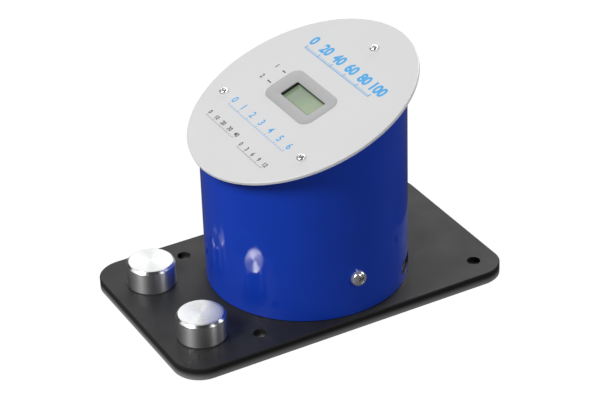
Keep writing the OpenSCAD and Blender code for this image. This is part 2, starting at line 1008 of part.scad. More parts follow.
module connector_shell() {
    color("#b7b9bc")
        toward_port()
            translate([bracket_out + plug_t, 0, port_mid])
                rotate([90, 0, 90])
                    linear_extrude(shell_l)
                        difference() {
                            rounded_rect(shell_w, shell_h, shell_h / 4);
                            square([shell_slot_w, shell_slot_h], center = true);
                        }
}

// The bracket's screws point along their own Z, with the ring's underside at zero
module place_bracket_screws() {
    toward_port()
        for (side = [-1, 1])
            translate([(bracket_in + bracket_out - bracket_t) / 2,
                    side * bracket_screw_pitch / 2, ring_z])
                children();
}

// Angle bracket: a leg that holds the connector and a foot screwed under the swivel ring
module connector_bracket() {
    leg_low = port_mid - port_h / 2;
    cut_w = plug_body_w + 2 * fixed_gap;
    cut_h = plug_body_h + 2 * fixed_gap;
    color("#9aa0a6")
        difference() {
            toward_port()
                difference() {
                    union() {
                        translate([bracket_out - bracket_t, -bracket_w / 2, leg_low])
                            cube([bracket_t, bracket_w, ring_z - leg_low]);
                        translate([bracket_in, -bracket_w / 2, ring_z - bracket_t])
                            cube([bracket_out - bracket_in, bracket_w, bracket_t]);
                    }
                    translate([bracket_out - bracket_t - overrun, -cut_w / 2, port_mid - cut_h / 2])
                        cube([bracket_t + 2 * overrun, cut_w, cut_h]);
                }
            place_bracket_screws()
                translate([0, 0, -bracket_t - overrun])
                    cylinder(r = bracket_screw_d / 2 + screw_gap, h = bracket_t + 2 * overrun);
        }
}

module bracket_screws() {
    color("#8e9296")
        place_bracket_screws()
            translate([0, 0, -bracket_t])
                mirror([0, 0, 1])
                    pan_screw(bracket_screw_d, bracket_head_d, bracket_t + bracket_screw_in);
}

base_plate();
front_post();
back_post();
post_screws();
hub();
hub_screws();
shaft_bush();
torque_shaft();
flange_screws();
strain_gauges();
stop_pin();
thrust_washer();
friction_ring();
amplifier_board();
amplifier_standoffs();
amplifier_screws();
housing_tube();
swivel_ring();
side_screws();
face_ring();
face_plate();
face_screws();
display_bezel();
lcd_panel();
lcd_frame();
display_board();
board_standoffs();
board_screws();
connector();
connector_shell();
connector_bracket();
bracket_screws();
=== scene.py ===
import json
import math

import bpy
from mathutils import Matrix, Vector


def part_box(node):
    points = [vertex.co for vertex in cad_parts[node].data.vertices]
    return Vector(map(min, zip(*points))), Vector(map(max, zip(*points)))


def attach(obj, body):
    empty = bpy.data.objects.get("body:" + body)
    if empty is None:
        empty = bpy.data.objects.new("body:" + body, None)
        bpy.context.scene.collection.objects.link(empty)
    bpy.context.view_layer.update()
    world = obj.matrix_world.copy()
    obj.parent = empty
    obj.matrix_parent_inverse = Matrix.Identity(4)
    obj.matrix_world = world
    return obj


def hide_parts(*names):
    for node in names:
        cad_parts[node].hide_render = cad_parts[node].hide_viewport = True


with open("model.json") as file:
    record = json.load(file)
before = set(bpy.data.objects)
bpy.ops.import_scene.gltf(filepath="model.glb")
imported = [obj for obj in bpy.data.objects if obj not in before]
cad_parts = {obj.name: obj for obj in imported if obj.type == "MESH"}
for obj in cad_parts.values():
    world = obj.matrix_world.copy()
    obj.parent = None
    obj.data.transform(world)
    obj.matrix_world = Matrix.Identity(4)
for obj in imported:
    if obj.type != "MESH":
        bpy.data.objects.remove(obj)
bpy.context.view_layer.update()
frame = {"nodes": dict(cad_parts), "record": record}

MM = 0.001

# The torque tester's bodies, and places and sizes read from the frame, in metres
base, head = "base", "display_head"
tube_low, tube_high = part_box("housing_tube")
post_low, post_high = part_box("front_post")
tube_radius = (tube_high.y - tube_low.y) / 2
tube_x = (tube_low.x + tube_high.x) / 2
post_radius = 15 * MM
face_slope = math.radians(20)
face_height = 125.3 * MM
face_middle = Vector((tube_x, 0, face_height))
face_frame = Matrix.Translation(face_middle) @ Matrix.Rotation(-face_slope, 4, "Y")


# ---------------------------------------------------------------- camera, floor and light

def point_camera():
    """The camera's place and turn, as fitted to the photograph."""
    focal_pixels, width_pixels, sensor = 2179.557, 600, 36
    right = Vector((0.87139399, -0.48976467, -0.02833865))
    up = Vector((0.27369351, 0.43739322, 0.85660903))
    back = right.cross(up)
    camera = bpy.data.objects.new("camera", bpy.data.cameras.new("camera"))
    bpy.context.scene.collection.objects.link(camera)
    turn = Matrix((right, up, back)).transposed().to_4x4()
    camera.matrix_world = Matrix.Translation((-0.536196, -0.996385, 0.736545)) @ turn
    camera.data.sensor_width = sensor
    camera.data.lens = focal_pixels * sensor / width_pixels
    camera.data.clip_start = 0.05
    camera.data.clip_end = 30
    bpy.context.scene.camera = camera


def soft_box(name, place, aim, size_x, size_y, power):
    lamp = bpy.data.lights.new(name, "AREA")
    lamp.shape = "RECTANGLE"
    lamp.size, lamp.size_y = size_x, size_y
    lamp.energy = power
    thing = bpy.data.objects.new(name, lamp)
    bpy.context.scene.collection.objects.link(thing)
    thing.location = place
    direction = Vector(aim) - Vector(place)
    thing.rotation_euler = direction.to_track_quat("-Z", "Y").to_euler()


def brightness_by_ray(tree, seen, mirrored, otherwise):
    """A strength for what the camera sees, for what gloss and glass show, and for the rest."""
    ray = tree.nodes.new("ShaderNodeLightPath")
    shown = tree.nodes.new("ShaderNodeMath")
    shown.operation = "MAXIMUM"
    tree.links.new(ray.outputs["Is Glossy Ray"], shown.inputs[0])
    tree.links.new(ray.outputs["Is Transmission Ray"], shown.inputs[1])
    first = tree.nodes.new("ShaderNodeMapRange")
    first.inputs["To Min"].default_value = otherwise
    first.inputs["To Max"].default_value = mirrored
    tree.links.new(shown.outputs[0], first.inputs["Value"])
    second = tree.nodes.new("ShaderNodeMapRange")
    second.inputs["To Max"].default_value = seen
    tree.links.new(ray.outputs["Is Camera Ray"], second.inputs["Value"])
    tree.links.new(first.outputs["Result"], second.inputs["To Min"])
    return second.outputs["Result"]


def lay_floor():
    bpy.ops.object.select_all(action="DESELECT")
    bpy.ops.mesh.primitive_plane_add(size=12, location=(0, 0, -0.2 * MM))
    floor = bpy.context.object
    floor.name = "studio_floor"
    paper = bpy.data.materials.new("studio_paper")
    paper.use_nodes = True
    nodes, links = paper.node_tree.nodes, paper.node_tree.links
    nodes.clear()
    out = nodes.new("ShaderNodeOutputMaterial")
    matt = nodes.new("ShaderNodeBsdfDiffuse")
    matt.inputs["Color"].default_value = (0.05, 0.05, 0.05, 1)
    glow = nodes.new("ShaderNodeEmission")
    strength = brightness_by_ray(paper.node_tree, seen=0.97, mirrored=0.01, otherwise=0.30)
    links.new(strength, glow.inputs["Strength"])
    both = nodes.new("ShaderNodeAddShader")
    links.new(matt.outputs[0], both.inputs[0])
    links.new(glow.outputs[0], both.inputs[1])
    links.new(both.outputs[0], out.inputs["Surface"])
    floor.data.materials.append(paper)


def light_room():
    world = bpy.data.worlds.new("studio_air")
    bpy.context.scene.world = world
    world.use_nodes = True
    tree = world.node_tree
    tree.nodes.clear()
    out = tree.nodes.new("ShaderNodeOutputWorld")
    air = tree.nodes.new("ShaderNodeBackground")
    strength = brightness_by_ray(tree, seen=1.0, mirrored=0.035, otherwise=0.10)
    tree.links.new(strength, air.inputs["Strength"])
    tree.links.new(air.outputs[0], out.inputs["Surface"])
    middle = (0, 0, 0.06)
    # Place, aim, two sizes and power of each lamp
    soft_box("back_panel", (1.32, 1.37, 1.30), middle, 3.8, 1.9, 33)
    soft_box("left_panel", (-1.72, 0.50, 1.35), middle, 2.0, 1.0, 11)
    soft_box("key_light", (-1.442, -0.15, 1.615), middle, 0.30, 0.9, 44)
    soft_box("fill_light", (0.755, -1.647, 0.85), middle, 0.22, 1.0, 8.5)
    soft_box("right_panel", (1.62, 0.80, 1.12), middle, 0.9, 0.7, 10)
    soft_box("side_light", (1.73, -0.54, 0.85), middle, 0.35, 0.9, 6)


point_camera()
lay_floor()
light_room()
bpy.context.scene.view_settings.view_transform = "Standard"


# ---------------------------------------------------------------- finishes

def finish(name, colour, roughness, metal=0.0, **more):
    """A material whose shader has its plain values set."""
    made = bpy.data.materials.new(name)
    made.use_nodes = True
    shader = made.node_tree.nodes["Principled BSDF"]
    shader.inputs["Base Color"].default_value = (*colour, 1)
    shader.inputs["Roughness"].default_value = roughness
    shader.inputs["Metallic"].default_value = metal
    for socket, value in more.items():
        shader.inputs[socket.replace("_", " ")].default_value = value
    return made


def add(made, kind, **plain):
    """A new node with plain values for its inputs, or else for its settings."""
    node = made.node_tree.nodes.new("ShaderNode" + kind)
    for name, value in plain.items():
        if name in node.inputs.keys():
            node.inputs[name].default_value = value
        else:
            setattr(node, name, value)
    return node


def join(made, source, target):
    made.node_tree.links.new(source, target)


def shader_of(made):
    return made.node_tree.nodes["Principled BSDF"]


def object_place(made, scale=(1, 1, 1), shift=(0, 0, 0)):
    """Object coordinates, moved and stretched."""
    place = add(made, "TexCoord")
    mapping = add(made, "Mapping")
    mapping.inputs["Location"].default_value = shift
    mapping.inputs["Scale"].default_value = scale
    join(made, place.outputs["Object"], mapping.inputs["Vector"])
    return mapping.outputs["Vector"]


def noise(made, vector, scale, detail=3.0, rough=0.5):
    cloud = add(made, "TexNoise", Scale=scale, Detail=detail, Roughness=rough)
    join(made, vector, cloud.inputs["Vector"])
    return cloud.outputs["Fac"]


def graded(made, value, start, end, low=0.0, high=1.0, soft=False):
    """Goes from low to high while value goes from start to end."""
    ramp = add(made, "MapRange", interpolation_type="SMOOTHSTEP" if soft else "LINEAR")
    limits = {"From Min": start, "From Max": end, "To Min": low, "To Max": high}
    for socket, number in limits.items():
        ramp.inputs[socket].default_value = number
    join(made, value, ramp.inputs["Value"])
    return ramp.outputs["Result"]


def product(made, one, other):
    both = add(made, "Math", operation="MULTIPLY")
    join(made, one, both.inputs[0])
    join(made, other, both.inputs[1])
    return both.outputs[0]


# Noise stays near its middle, so the patterns use this part of its range
noise_low, noise_high = 0.3, 0.7


def vary_colour(made, amount, dark, light):
    ramp = add(made, "ValToRGB")
    ramp.color_ramp.elements[0].position = noise_low
    ramp.color_ramp.elements[1].position = noise_high
    ramp.color_ramp.elements[0].color = (*dark, 1)
    ramp.color_ramp.elements[1].color = (*light, 1)
    join(made, amount, ramp.inputs["Fac"])
    join(made, ramp.outputs["Color"], shader_of(made).inputs["Base Color"])


def vary_gloss(made, amount, low, high):
    spread = graded(made, amount, noise_low, noise_high, low, high)
    join(made, spread, shader_of(made).inputs["Roughness"])


def raise_surface(made, amount, height, strength=1.0):
    bump = add(made, "Bump", Strength=strength, Distance=height)
    join(made, amount, bump.inputs["Height"])
    join(made, bump.outputs["Normal"], shader_of(made).inputs["Normal"])


def scaled(colour, share):
    return tuple(c * share for c in colour)


def mottled(name, colour, roughness, metal=0.0, spread=0.06, grain=900.0, height=0.02 * MM):
    """A finish with a fine grain and a slow, faint change of tone and gloss.

    spread is the change of tone, grain the pattern's scale and height how deep it goes.
    """
    made = finish(name, colour, roughness, metal)
    place = object_place(made)
    slow = noise(made, place, 40.0, 3.0)
    fine = noise(made, place, grain, 2.0)
    vary_colour(made, slow, scaled(colour, 1 - spread), scaled(colour, 1 + spread))
    vary_gloss(made, slow, roughness * 0.88, roughness * 1.12)
    raise_surface(made, fine, height, 0.4)
    return made


def sheet_metal(name, colour, roughness):
    """Rolled or brushed metal with long fine lines."""
    made = finish(name, colour, roughness, metal=1.0)
    lines = noise(made, object_place(made, scale=(30, 900, 900)), 1.0, 3.0, 0.7)
    slow = noise(made, object_place(made), 35.0)
    vary_colour(made, slow, scaled(colour, 0.92), scaled(colour, 1.05))
    vary_gloss(made, lines, roughness - 0.05, roughness + 0.07)
    raise_surface(made, lines, 0.006 * MM)
    return made


def two_finishes(made, share, colour, metal, roughness):
    """Turns the finish set so far into another one where share is 1."""
    shader = shader_of(made)
    before = shader.inputs["Base Color"].links[0].from_socket
    tone = add(made, "MixRGB")
    tone.inputs["Color2"].default_value = (*colour, 1)
    join(made, share, tone.inputs["Fac"])
    join(made, before, tone.inputs["Color1"])
    join(made, tone.outputs["Color"], shader.inputs["Base Color"])
    gloss = add(made, "MapRange")
    join(made, share, gloss.inputs["Value"])
    join(made, shader.inputs["Roughness"].links[0].from_socket, gloss.inputs["To Min"])
    gloss.inputs["To Max"].default_value = roughness
    join(made, gloss.outputs["Result"], shader.inputs["Roughness"])
    plating = graded(made, share, 0, 1, shader.inputs["Metallic"].default_value, metal)
    join(made, plating, shader.inputs["Metallic"])


def facing_share(made, way, full, none):
    """1 where the surface faces along way by less than full, 0 where by more than none."""
    place = add(made, "TexCoord")
    along = add(made, "VectorMath", operation="DOT_PRODUCT")
    along.inputs[1].default_value = way
    join(made, place.outputs["Normal"], along.inputs[0])
    return graded(made, along.outputs["Value"], none, full, soft=True)


def turned_metal(name, colour, roughness, side_colour, side_roughness, depth):
    """Metal from the lathe: fine rings along the piece's own profile, kept in its first UV axis.

    The ends are faced with a finer cut than the sides.
    """
    made = finish(name, colour, roughness, metal=1.0, Anisotropic=0.8, Anisotropic_Rotation=0.25)
    around = add(made, "Tangent", direction_type="RADIAL", axis="Z")
    join(made, around.outputs["Tangent"], shader_of(made).inputs["Tangent"])
    profile = add(made, "UVMap")
    profile.uv_map = "lathe"
    apart = add(made, "SeparateXYZ")
    join(made, profile.outputs["UV"], apart.inputs["Vector"])
    feed = add(made, "TexNoise", noise_dimensions="1D", Scale=2.2, Detail=4.0, Roughness=0.75)
    join(made, apart.outputs["X"], feed.inputs["W"])
    wide = add(made, "TexNoise", noise_dimensions="1D", Scale=0.45, Detail=2.0)
    join(made, apart.outputs["X"], wide.inputs["W"])
    vary_colour(made, wide.outputs["Fac"], scaled(colour, 0.93), scaled(colour, 1.05))
    vary_gloss(made, wide.outputs["Fac"], roughness - 0.03, roughness + 0.05)
    sides = facing_share(made, (0, 0, 1), full=0.5, none=0.95)
    two_finishes(made, sides, side_colour, 1.0, side_roughness)
    raise_surface(made, feed.outputs["Fac"], depth)
    return made


def plate_finish():
    """Satin black with a fine grain; the cut sides are painted paler towards the floor, as
    painted light from the floor.
    """
    holes_x, hole_step_x, hole_step_y = 20 * MM, 75 * MM, 50 * MM
    made = mottled("plate_black", (0.008, 0.008, 0.0085), 0.55, spread=0.22, grain=1100.0,
                   height=0.04 * MM)
    place = add(made, "TexCoord").outputs["Object"]
    spot = add(made, "SeparateXYZ")
    join(made, place, spot.inputs["Vector"])
    upright = facing_share(made, (0, 0, 1), full=0.3, none=0.9)
    # Painted light: the upright sides grow paler towards the floor, standing in for the floor's
    # light on them
    painted_floor_light = product(made, graded(made, spot.outputs["Z"], 5.6 * MM, 0.2 * MM, soft=True), upright)
    edges = facing_share(made, (0, 0, 1), full=0.75, none=0.97)
    two_finishes(made, edges, (0.003, 0.003, 0.003), 0.0, 0.9)
    two_finishes(made, painted_floor_light, (0.24, 0.24, 0.24), 0.0, 0.6)
    # The lower walls of the holes are paler and half metallic.
    # The place is folded twice, so that all four holes share one middle
    for operation, by in (("SUBTRACT", (holes_x, 0, 0)), ("ABSOLUTE", (0, 0, 0)),
                          ("SUBTRACT", (hole_step_x, hole_step_y, 0)),
                          ("MULTIPLY", (1, 1, 0))):
        step = add(made, "VectorMath", operation=operation)
        step.inputs[1].default_value = by
        join(made, place, step.inputs[0])
        place = step.outputs["Vector"]
    across = add(made, "VectorMath", operation="LENGTH")
    join(made, place, across.inputs[0])
    wall = graded(made, across.outputs["Value"], 4.6 * MM, 4.3 * MM)
    low = graded(made, spot.outputs["Z"], 3.6 * MM, 2.2 * MM, soft=True)
    two_finishes(made, product(made, wall, low), (0.46, 0.45, 0.41), 0.5, 0.4)
    return made


def tube_finish():
    """Gloss blue outside; the cut edges are bare metal just under the paint, darkened as painted
    shade, and painted darker still further in, as shade inside the opening and the tube.
    """
    made = mottled("housing_blue", (0.0064, 0.041, 0.395), 0.07, spread=0.03, grain=260.0,
                   height=0.004 * MM)
    shader = shader_of(made)
    across = add(made, "VectorMath", operation="LENGTH")
    join(made, object_place(made, scale=(1, 1, 0), shift=(-tube_x, 0, 0)), across.inputs[0])
    radius = across.outputs["Value"]
    # Bare metal at the cut edges, its colour darkened as painted shade in the opening
    bare = graded(made, radius, tube_radius - 0.10 * MM, tube_radius - 0.30 * MM)
    two_finishes(made, bare, (0.10, 0.10, 0.10), 0.5, 0.42)
    # Painted shade: the wall darkens further into the opening and over the tube's inside
    deep = graded(made, radius, tube_radius - 0.40 * MM, tube_radius - 1.10 * MM)
    painted_inner_shade = add(made, "MixRGB")
    painted_inner_shade.inputs["Color2"].default_value = (0.035, 0.028, 0.022, 1)
    join(made, deep, painted_inner_shade.inputs["Fac"])
    join(made, shader.inputs["Base Color"].links[0].from_socket, painted_inner_shade.inputs["Color1"])
    join(made, painted_inner_shade.outputs["Color"], shader.inputs["Base Color"])
    return made


def panel_finish():
    """Satin silver face with a fine grain; its cut rim and its back are bare metal, lightened as
    a painted highlight.
    """
    made = mottled("panel_silver", (0.51, 0.51, 0.515), 0.42, spread=0.012, grain=1600.0,
                   height=0.01 * MM)
    out_of_face = face_frame.to_3x3() @ Vector((0, 0, 1))
    rim = facing_share(made, out_of_face, full=0.4, none=0.92)
    # Bare rim and back, their colour lightened as a painted highlight along the rim
    two_finishes(made, rim, (0.80, 0.80, 0.81), 0.2, 0.45)
    return made


def board_finish():
    """Green solder mask with tracks."""
    made = finish("board_mask", (0.03, 0.20, 0.08), 0.30)
    tracks = add(made, "TexBrick", Scale=220.0)
    tracks.offset = 0.37
    tracks.inputs["Color1"].default_value = (0.018, 0.15, 0.055, 1)
    tracks.inputs["Color2"].default_value = (0.025, 0.19, 0.07, 1)
    tracks.inputs["Mortar"].default_value = (0.06, 0.30, 0.12, 1)
    tracks.inputs["Mortar Size"].default_value = 0.05
    join(made, object_place(made), tracks.inputs["Vector"])
    join(made, tracks.outputs["Color"], shader_of(made).inputs["Base Color"])
    raise_surface(made, tracks.outputs["Fac"], 0.03 * MM)
    return made


def display_finish():
    """Grey-green liquid crystal under a glossy cover, painted lighter towards its lower end as
    painted shading.
    """
    made = finish("display_green", (0.33, 0.42, 0.29), 0.22, Coat_Weight=0.3, Coat_Roughness=0.03)
    place = object_place(made)
    apart = add(made, "SeparateXYZ")
    join(made, place, apart.inputs["Vector"])
    # Painted shading: the crystal is darker towards its upper end and lighter towards its lower
    # end
    painted_shading = graded(made, apart.outputs["Y"], 16 * MM, -18 * MM)
    vary_colour(made, painted_shading, (0.164, 0.222, 0.147), (0.222, 0.288, 0.180))
    vary_gloss(made, noise(made, place, 600.0), 0.2, 0.26)
    return made


# Name, colour, roughness, metal, change of tone, grain and depth of each plain finish
zinc = mottled("zinc_plating", (0.46, 0.47, 0.48), 0.34, 1.0, 0.08, 700.0, 0.01 * MM)
machined = mottled("hub_machined", (0.34, 0.35, 0.36), 0.38, 1.0, 0.10, 500.0, 0.01 * MM)
bronze = mottled("bush_bronze", (0.62, 0.44, 0.20), 0.32, 1.0, 0.08, 500.0, 0.01 * MM)
ground = mottled("shaft_ground", (0.60, 0.61, 0.62), 0.24, 1.0, 0.06, 800.0, 0.006 * MM)
brass = mottled("standoff_brass", (0.72, 0.53, 0.22), 0.28, 1.0, 0.06, 500.0, 0.01 * MM)
bright = mottled("screw_bright", (0.90, 0.92, 0.88), 0.15, 0.86, 0.05, 900.0, 0.004 * MM)
foil = mottled("gauge_backing", (0.70, 0.38, 0.10), 0.30, 0.0, 0.15, 900.0, 0.01 * MM)
slippery = mottled("washer_white", (0.80, 0.79, 0.74), 0.45, 0.0, 0.04)
rubber = mottled("ring_rubber", (0.022, 0.022, 0.023), 0.55, 0.0, 0.2)
bezel_satin = mottled("bezel_satin", (0.32, 0.32, 0.325), 0.40, 0.0, 0.03, 1500.0, 0.01 * MM)
moulded = mottled("moulded_black", (0.018, 0.018, 0.019), 0.42, 0.0, 0.2, 1200.0, 0.02 * MM)
print_blue = mottled("print_blue", (0.035, 0.285, 0.58), 0.38, 0.0, 0.05, 1500.0, 0.004 * MM)
print_black = mottled("print_black", (0.02, 0.02, 0.022), 0.4, 0.0, 0.2, 1500.0, 0.004 * MM)
post_metal = turned_metal("post_metal", (0.755, 0.76, 0.76), 0.28,
                          side_colour=(0.80, 0.80, 0.805), side_roughness=0.35,
                          depth=0.0009 * MM)

slot_finish = {
    "black_plate": plate_finish(), "turned_steel": post_metal, "screw_steel": zinc,
    "hub_steel": machined, "bearing_brass": bronze, "shaft_steel": ground,
    "gauge_foil": foil, "white_plastic": slippery, "black_rubber": rubber,
    "circuit_board": board_finish(), "standoff_brass": brass, "blue_paint": tube_finish(),
    "ring_aluminium": sheet_metal("ring_alloy", (0.66, 0.67, 0.69), 0.32),
    "bright_screws": bright, "face_panel": panel_finish(), "bezel_grey": bezel_satin,
    "lcd_glass": display_finish(), "black_plastic": moulded,
    "connector_metal": sheet_metal("shell_plating", (0.24, 0.22, 0.19), 0.32),
}
for part in frame["record"]["subparts"]:
    node = frame["nodes"][part["node"]]
    node.data.materials.clear()
    node.data.materials.append(slot_finish[part["material_slot"]])


# ---------------------------------------------------------------- shaping by hand

def clear_choice():
    bpy.ops.object.select_all(action="DESELECT")


def pick(obj, want, kind="FACE"):
    """Selects the faces or edges of obj for which want(middle, way) is true, in edit mode."""
    bpy.ops.object.mode_set(mode="OBJECT")
    mesh = obj.data
    for group in (mesh.vertices, mesh.edges, mesh.polygons):
        group.foreach_set("select", [False] * len(group))
    if kind == "FACE":
        for face in mesh.polygons:
            face.select = want(face.center, face.normal)
    else:
        for edge in mesh.edges:
            a, b = (mesh.vertices[i].co for i in edge.vertices)
            edge.select = want((a + b) / 2, b - a)
    bpy.ops.object.mode_set(mode="EDIT")
    bpy.ops.mesh.select_mode(type=kind)


def apply_all(obj):
    clear_choice()
    obj.select_set(True)
    bpy.context.view_layer.objects.active = obj
    for mod in list(obj.modifiers):
        bpy.ops.object.modifier_apply(modifier=mod.name)


def settle(obj, name, body, material, place=Matrix.Identity(4), smooth=35):
    """Names a finished piece, gives it its material and its place in its mesh, and lets it ride.

    Edges that turn by less than smooth, in degrees, are shaded round.
    """
    if obj.mode != "OBJECT":
        bpy.ops.object.mode_set(mode="OBJECT")
    apply_all(obj)
    obj.data.transform(obj.matrix_world)
    obj.matrix_world = Matrix.Identity(4)
    obj.data.transform(place)
    obj.name = name
    obj.data.name = name
    obj.data.materials.clear()
    obj.data.materials.append(material)
    bpy.ops.object.shade_smooth_by_angle(angle=math.radians(smooth))
    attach(obj, body)
    return obj


def lathe_rings(obj):
    """Keeps the distance along the turned profile, in millimetres, in a UV map."""
    rings = obj.data.uv_layers.new(name="lathe")
    mesh = obj.data
    for loop in mesh.loops:
        co = mesh.vertices[loop.vertex_index].co
        rings.data[loop.index].uv = ((math.hypot(co.x, co.y) - co.z) / MM, 0.0)


def copy_of(obj):
    twin = obj.copy()
    twin.data = obj.data.copy()
    bpy.context.scene.collection.objects.link(twin)
    bpy.context.view_layer.objects.active = twin
    return twin


def joined(pieces):
    clear_choice()
    for piece in pieces:
        piece.select_set(True)
    bpy.context.view_layer.objects.active = pieces[0]
    bpy.ops.object.join()
    return bpy.context.object


# Turned posts: a round bar, a wide chamfer above and a small one below, its edges just broken
def turn_post(name, y, node):
    height = post_high.z - post_low.z
    top_chamfer, foot_chamfer, broken_edge = 1.5 * MM, 0.6 * MM, 0.12 * MM
    clear_choice()
    bpy.ops.mesh.primitive_cylinder_add(vertices=128, radius=post_radius, depth=height,
                                        location=(0, 0, height / 2))
    post = bpy.context.object
    bpy.ops.object.transform_apply(location=True)
    pick(post, lambda middle, way: middle.z > height * 0.9, "EDGE")
    bpy.ops.mesh.bevel(offset=top_chamfer, segments=1)
    pick(post, lambda middle, way: middle.z < height * 0.1, "EDGE")
    bpy.ops.mesh.bevel(offset=foot_chamfer, segments=1)
    bpy.ops.object.mode_set(mode="OBJECT")
    soft = post.modifiers.new("broken_edges", "BEVEL")
    soft.width = broken_edge
    soft.segments = 2
    soft.limit_method = "ANGLE"
    soft.angle_limit = math.radians(30)
    apply_all(post)
    pick(post, lambda middle, way: way.z > 0.99)
    for ring in (2.0, 3.5, 4.0, 3.0):
        bpy.ops.mesh.inset(thickness=ring * MM)
    bpy.ops.object.mode_set(mode="OBJECT")
    lathe_rings(post)
    settle(post, name, base, post_metal,
           Matrix.Translation((post_low.x + post_radius, y, post_low.z)), smooth=30)
    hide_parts(node)


post_y = (post_low.y + post_high.y) / 2
turn_post("post_front", post_y, "front_post")
turn_post("post_back", -post_y, "back_post")


# Pan-head screws: a domed head with a tapered cross, and its shank
def shape_pan_screw(width, length, thread):
    tall = width * 0.39
    clear_choice()
    bpy.ops.mesh.primitive_cylinder_add(vertices=64, radius=width / 2, depth=tall,
                                        location=(0, 0, tall / 2))
    screw = bpy.context.object
    bpy.ops.object.transform_apply(location=True)
    pick(screw, lambda middle, way: middle.z > tall * 0.9, "EDGE")
    bpy.ops.mesh.bevel(offset=tall * 0.62, segments=7, profile=0.5)
    pick(screw, lambda middle, way: way.z < -0.99)
    bpy.ops.mesh.inset(thickness=(width - thread) / 2)
    bpy.ops.mesh.extrude_region_move(TRANSFORM_OT_translate={"value": (0, 0, -length)})
    bpy.ops.object.mode_set(mode="OBJECT")
    clear_choice()
    bpy.ops.mesh.primitive_cube_add(size=1, location=(0, 0, tall * 0.8))
    cross = bpy.context.object
    cross.scale = (width * 0.64, width * 0.19, tall * 1.25)
    bpy.ops.object.transform_apply(location=True, scale=True)
    pick(cross, lambda middle, way: way.z < -0.9)
    bpy.ops.transform.resize(value=(0.42, 0.7, 1), center_override=(0, 0, 0))
    bpy.ops.object.mode_set(mode="OBJECT")
    for _ in range(2):
        cut = screw.modifiers.new("cross", "BOOLEAN")
        cut.object = cross
        cut.solver = "EXACT"
        clear_choice()
        screw.select_set(True)
        bpy.context.view_layer.objects.active = screw
        bpy.ops.object.modifier_apply(modifier=cut.name)
        cross.data.transform(Matrix.Rotation(math.pi / 2, 4, "Z"))
    bpy.data.objects.remove(cross)
    return screw


face_screw = shape_pan_screw(width=5.6 * MM, length=5.5 * MM, thread=3 * MM)
face_screw_circle, face_screw_shift = 55 * MM, 1.5 * MM
for count, cross in enumerate((20, 65, 38)):
    one = copy_of(face_screw)
    angle = count * 2 * math.pi / 3
    where = Matrix.Translation((face_screw_circle * math.cos(angle) - face_screw_shift,
                                face_screw_circle * math.sin(angle), 0))
    cross_turn = Matrix.Rotation(math.radians(cross), 4, "Z")
    settle(one, "face_screw_%d" % (count + 1), head, bright,
           face_frame @ where @ cross_turn, smooth=30)
    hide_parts("face_screws")
bpy.data.objects.remove(face_screw)

side_screw = shape_pan_screw(width=9.5 * MM, length=16 * MM, thread=5 * MM)
side_screw_height = 33.4 * MM
for name, side, cross in (("side_screw_front", -1, 32), ("side_screw_back", 1, 10)):
    one = copy_of(side_screw)
    where = Matrix.Translation((tube_x, side * tube_radius, side_screw_height))
    turn = Matrix.Rotation(-side * math.pi / 2, 4, "X")
    cross_turn = Matrix.Rotation(math.radians(cross), 4, "Z")
    settle(one, name, head, bright, where @ turn @ cross_turn, smooth=30)
    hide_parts("side_screws")
bpy.data.objects.remove(side_screw)


# Bezel and the window's black sheet of painted shade: frames between two rounded outlines, drawn
# in the face's own frame
def rounded_outline(size_u, size_v, radius, middle):
    clear_choice()
    bpy.ops.mesh.primitive_plane_add(size=1, location=(*middle, 0))
    sheet = bpy.context.object
    sheet.scale = (size_u, size_v, 1)
    bpy.ops.object.transform_apply(location=True, scale=True)
    bpy.ops.object.mode_set(mode="EDIT")
    bpy.ops.mesh.select_all(action="SELECT")
    bpy.ops.mesh.bevel(offset=radius, segments=8, affect="VERTICES", profile=0.5)
    bpy.ops.object.mode_set(mode="OBJECT")
    return sheet


def flat_frame(outer, inner):
    """Joins two rounded sheets into the flat frame that lies between their outlines."""
    for sheet in (outer, inner):
        clear_choice()
        sheet.select_set(True)
        bpy.context.view_layer.objects.active = sheet
        bpy.ops.object.mode_set(mode="EDIT")
        bpy.ops.mesh.select_all(action="SELECT")
        bpy.ops.mesh.delete(type="ONLY_FACE")
        bpy.ops.object.mode_set(mode="OBJECT")
    ring = joined([outer, inner])
    bpy.ops.object.mode_set(mode="EDIT")
    bpy.ops.mesh.select_all(action="SELECT")
    bpy.ops.mesh.bridge_edge_loops()
    bpy.ops.mesh.select_all(action="SELECT")
    bpy.ops.mesh.normals_make_consistent(inside=False)
    bpy.ops.object.mode_set(mode="OBJECT")
    if ring.data.polygons[0].normal.z < 0:
        ring.data.flip_normals()
    return ring


def thicken(ring, depth, edge):
    """Gives a flat frame its depth below, and soft edges."""
    thick = ring.modifiers.new("wall", "SOLIDIFY")
    thick.thickness = depth
    thick.offset = -1
    soft = ring.modifiers.new("soft_edges", "BEVEL")
    soft.width = edge
    soft.segments = 3
    soft.limit_method = "ANGLE"
    soft.angle_limit = math.radians(50)


flange_middle, body_middle, window_middle = (0.1 * MM, 1 * MM), (1 * MM, 0.5 * MM), (0, -1.3 * MM)
flange_depth = 0.2 * MM


def window_outline():
    return rounded_outline(13 * MM, 33 * MM, 0.8 * MM, window_middle)


# The flange rests on the face plate, the body below it fills the plate's opening
flange = flat_frame(rounded_outline(27.4 * MM, 51.6 * MM, 7 * MM, flange_middle),
                    window_outline())
thicken(flange, depth=flange_depth, edge=0.12 * MM)
apply_all(flange)
body = flat_frame(rounded_outline(25 * MM, 47.5 * MM, 6 * MM, body_middle), window_outline())
thicken(body, depth=1.8 * MM, edge=0.05 * MM)
apply_all(body)
body.data.transform(Matrix.Translation((0, 0, -flange_depth)))
bezel = settle(joined([flange, body]), "bezel", head, bezel_satin,
               face_frame @ Matrix.Translation((0, 0, flange_depth)), smooth=30)
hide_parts("display_bezel")

